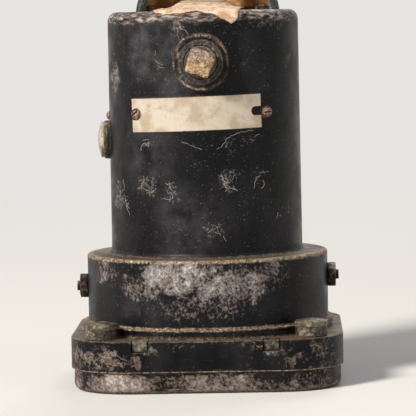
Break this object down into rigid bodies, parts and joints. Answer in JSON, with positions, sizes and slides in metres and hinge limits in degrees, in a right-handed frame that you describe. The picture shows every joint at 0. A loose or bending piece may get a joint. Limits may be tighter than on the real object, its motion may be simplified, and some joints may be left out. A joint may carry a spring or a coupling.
{
  "type": "turn and bank indicator",
  "caption": "Air-driven turn and bank indicator standing on its bezel: square flange, wide ring, narrow round body, gyro in a gimbal, needle, slip ball and rear intake hood.",
  "frame": {"origin": "centre of the bezel's front face, which the instrument stands on", "axes": "+Z to the rear along the body, +Y the dial's upper edge, -Y the side of the test port and nameplate"},
  "size_m": [0.082, 0.082, 0.1324],
  "materials": {
    "black_enamel": "worn black enamel on cast metal",
    "hood_metal": "lacquered inside, blackened outside",
    "gasket_fibre": "pressed fibre",
    "clear_glass": "polished",
    "corroded_brass": "oxidised",
    "bright_brass": "turned",
    "rusted_steel": "rust-stained",
    "bright_steel": "turned",
    "aged_plate": "aged, stained at the ends",
    "frame_aluminium": "machined",
    "sealing_paper": "torn paper",
    "dial_black": "matt black paint",
    "marking_white": "matt white paint",
    "ball_black": "polished"
  },
  "bodies": {
    "instrument_case": {"case_body": "black_enamel", "bezel": "black_enamel", "intake_hood": "hood_metal", "bezel_gasket": "gasket_fibre", "glass_seal": "gasket_fibre", "cover_glass": "clear_glass", "inclinometer_tube": "clear_glass", "mounting_collars": "corroded_brass", "mounting_nuts": "corroded_brass", "port_bushing": "corroded_brass", "pipe_plug": "corroded_brass", "intake_screen": "corroded_brass", "suction_nipple": "corroded_brass", "glass_retainer": "bright_brass", "front_bearing": "bright_brass", "rear_bearing": "bright_brass", "cage_pillars": "bright_brass", "jet_tube": "bright_brass", "needle_bushing": "bright_brass", "dashpot_cylinder": "bright_brass", "inclinometer_clips": "bright_brass", "dial_posts": "bright_brass", "bezel_screws": "rusted_steel", "bezel_nuts": "rusted_steel", "side_studs": "rusted_steel", "side_nuts": "rusted_steel", "nameplate_screws": "rusted_steel", "cap_lock_screw": "rusted_steel", "hood_screws": "rusted_steel", "adjuster_cap_washer": "rusted_steel", "bridge_screws": "bright_steel", "centring_spring": "bright_steel", "dial_screws": "bright_steel", "reference_wires": "bright_steel", "spring_bracket": "bright_steel", "nameplate": "aged_plate", "adjuster_cap": "aged_plate", "mechanism_plate": "frame_aluminium", "front_bridge": "frame_aluminium", "rear_bridge": "frame_aluminium", "paper_seal": "sealing_paper", "dial": "dial_black"},
    "gimbal": {"gimbal_frame": "frame_aluminium", "gimbal_pivots": "bright_steel", "crank_arm": "bright_steel", "damping_arm": "bright_steel", "rotor_bearings": "bright_brass", "balance_weights": "bright_brass"},
    "gyro_rotor": {"rotor": "bright_brass", "rotor_shaft": "bright_steel"},
    "turn_needle": {"needle_staff": "bright_steel", "needle_fork": "bright_steel", "needle": "marking_white"},
    "slip_ball": {"inclinometer_ball": "ball_black"},
    "damper_piston": {"dashpot_piston": "bright_brass"},
    "sensitivity_adjuster": {"sensitivity_screw": "bright_steel"},
    "damping_adjuster": {"damping_screw": "bright_steel"}
  },
  "joints": [
    {"name": "gimbal_tilt", "type": "hinge", "parent": "instrument_case", "child": "gimbal", "pos_m": [0, 0, 0.0739], "axis": [0, 0, 1], "range_deg": [-18, 18], "stiffness_Nm_per_rad": 0.0055, "deforming": ["centring_spring"]},
    {"name": "rotor_spin", "type": "hinge", "parent": "gimbal", "child": "gyro_rotor", "pos_m": [0, 0, 0.0739], "axis": [1, 0, 0], "continuous": true},
    {"name": "needle_turn", "type": "hinge", "parent": "instrument_case", "child": "turn_needle", "pos_m": [0, -0.01, 0.0215], "axis": [0, 0, 1], "range_deg": [-24.5, 24.5]},
    {"name": "ball_roll", "type": "hinge", "parent": "instrument_case", "child": "slip_ball", "pos_m": [0, 0.043, 0.0158], "axis": [0, 0, 1], "range_deg": [-14, 14]},
    {"name": "damper_stroke", "type": "slide", "parent": "instrument_case", "child": "damper_piston", "axis": [0, 1, 0], "range_m": [-0.0028, 0.0028]},
    {"name": "sensitivity_screw_turn", "type": "hinge", "parent": "instrument_case", "child": "sensitivity_adjuster", "pos_m": [-0.0243, 0, 0.0739], "axis": [1, 0, 0], "range_deg": [-180, 180]},
    {"name": "damping_screw_turn", "type": "hinge", "parent": "instrument_case", "child": "damping_adjuster", "pos_m": [0.009, -0.019, 0.0437], "axis": [0, 1, 0], "range_deg": [-180, 180]}
  ],
  "couplings": [
    {"joint": "needle_turn", "follows": "gimbal_tilt", "ratio": -1.36},
    {"joint": "damper_stroke", "follows": "gimbal_tilt", "m_per_rad": 0.008853}
  ]
}
